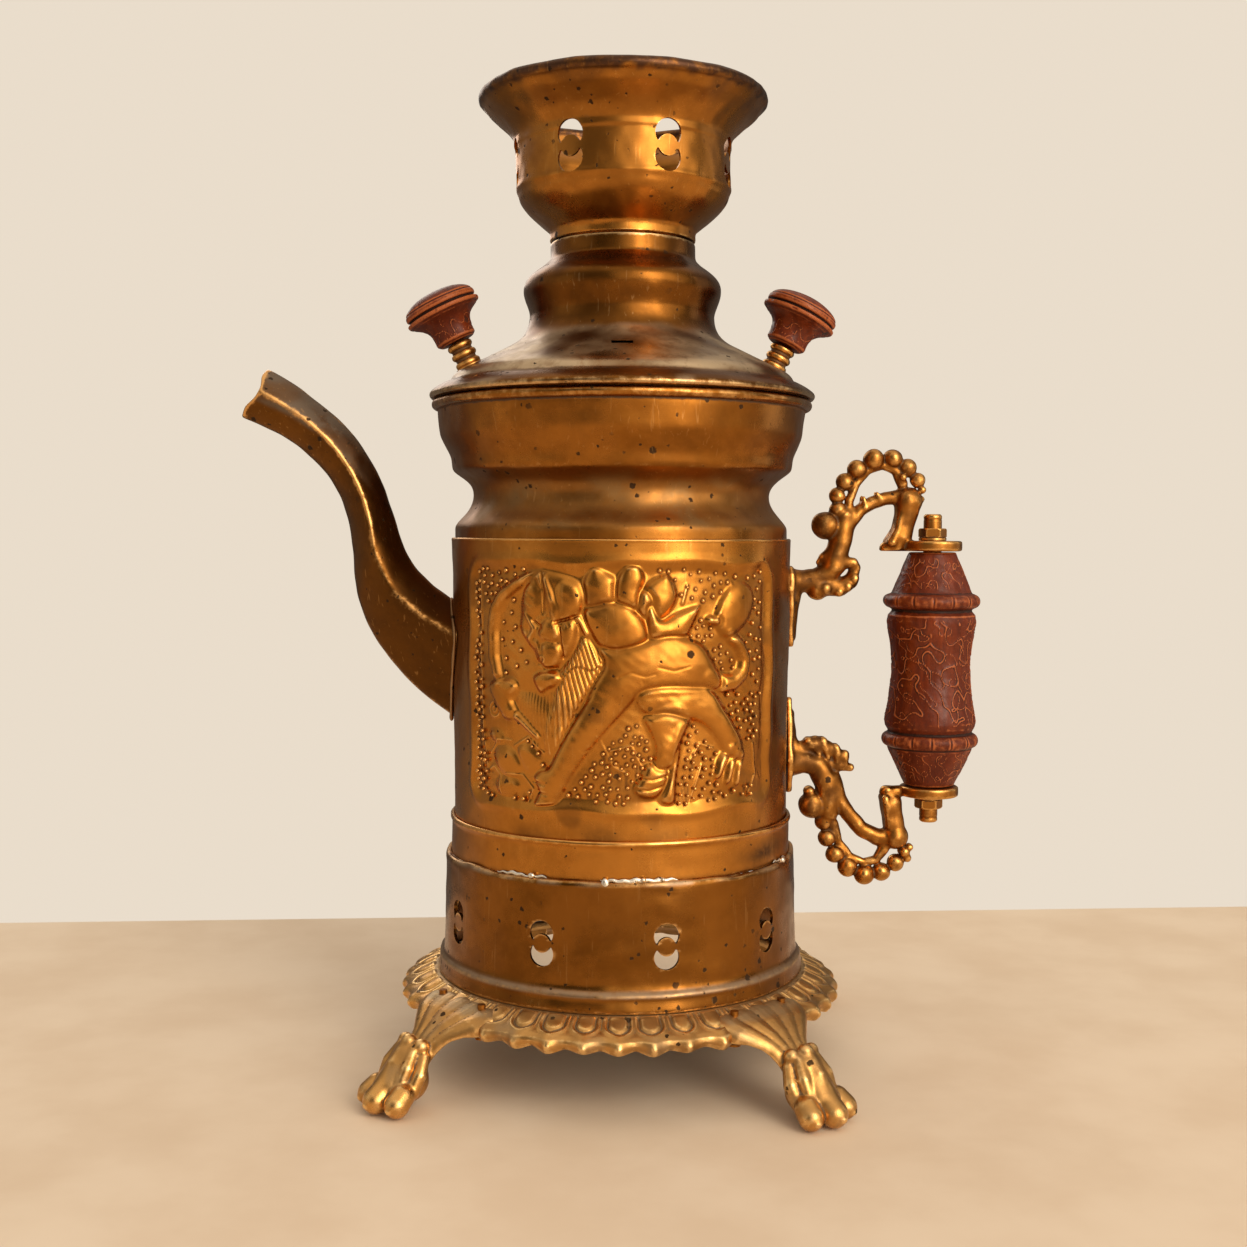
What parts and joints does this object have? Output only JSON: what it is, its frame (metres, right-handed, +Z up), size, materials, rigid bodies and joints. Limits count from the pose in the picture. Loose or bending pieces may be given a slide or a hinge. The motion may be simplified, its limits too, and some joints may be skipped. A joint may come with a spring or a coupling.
{
  "type": "samovar",
  "caption": "Charcoal-fired samovar: round vessel about a central fire tube, curved spout, side grip, domed lid with knobs, pierced crown for a teapot, pierced collar and paw-foot ring.",
  "frame": {"origin": "on the vessel's axis at table height, under the paws", "axes": "+Z up along the vessel's axis, -X towards the spout, +X towards the grip, -Y towards the front panel"},
  "size_m": [0.311, 0.2104, 0.4001],
  "materials": {
    "aged_brass": "spun and beaten sheet, golden brown with dark specks and worn bright edges",
    "grey_brass": "spun sheet under a blotchy olive-grey patina",
    "cast_brass": "cast yellow brass, tan-grey in the hollows and bright on the high spots",
    "sooty_brass": "heat-darkened sheet with soot",
    "iron": "rough scaled iron",
    "wood": "turned and carved hardwood, dark red-brown, waxed"
  },
  "bodies": {
    "vessel": {"barrel": "aged_brass", "lower_band": "aged_brass", "vessel_neck": "grey_brass", "vessel_floor": "aged_brass", "fire_tube": "sooty_brass", "base_collar": "aged_brass", "foot_ring": "cast_brass", "paw_front_left": "cast_brass", "paw_front_right": "cast_brass", "paw_rear_right": "cast_brass", "paw_rear_left": "cast_brass", "foot_rivets": "cast_brass", "spout": "aged_brass", "bracket_upper": "cast_brass", "bracket_lower": "cast_brass", "bracket_rivets": "cast_brass", "handle_rod": "cast_brass", "handle_nut_top": "cast_brass", "handle_nut_bottom": "cast_brass"},
    "lid": {"lid_shell": "grey_brass", "lid_skirt": "grey_brass", "knob_stem_left": "cast_brass", "knob_stem_right": "cast_brass", "knob_left": "wood", "knob_right": "wood", "knob_nut_left": "cast_brass", "knob_nut_right": "cast_brass"},
    "crown": {"crown_shell": "aged_brass", "crown_spigot": "aged_brass"},
    "grate": {"fire_grate": "iron"},
    "grip": {"handle_grip": "wood"}
  },
  "joints": [
    {"name": "lid_lift", "type": "slide", "parent": "vessel", "child": "lid", "axis": [0, 0, 1], "range_m": [0, 0.16]},
    {"name": "crown_lift", "type": "slide", "parent": "lid", "child": "crown", "axis": [0, 0, 1], "range_m": [0, 0.12]},
    {"name": "grate_lift", "type": "slide", "parent": "vessel", "child": "grate", "axis": [0, 0, 1], "range_m": [0, 0.32]},
    {"name": "grip_spin", "type": "hinge", "parent": "vessel", "child": "grip", "pos_m": [0.133, 0, 0.1622], "axis": [0, 0, 1], "continuous": true}
  ]
}
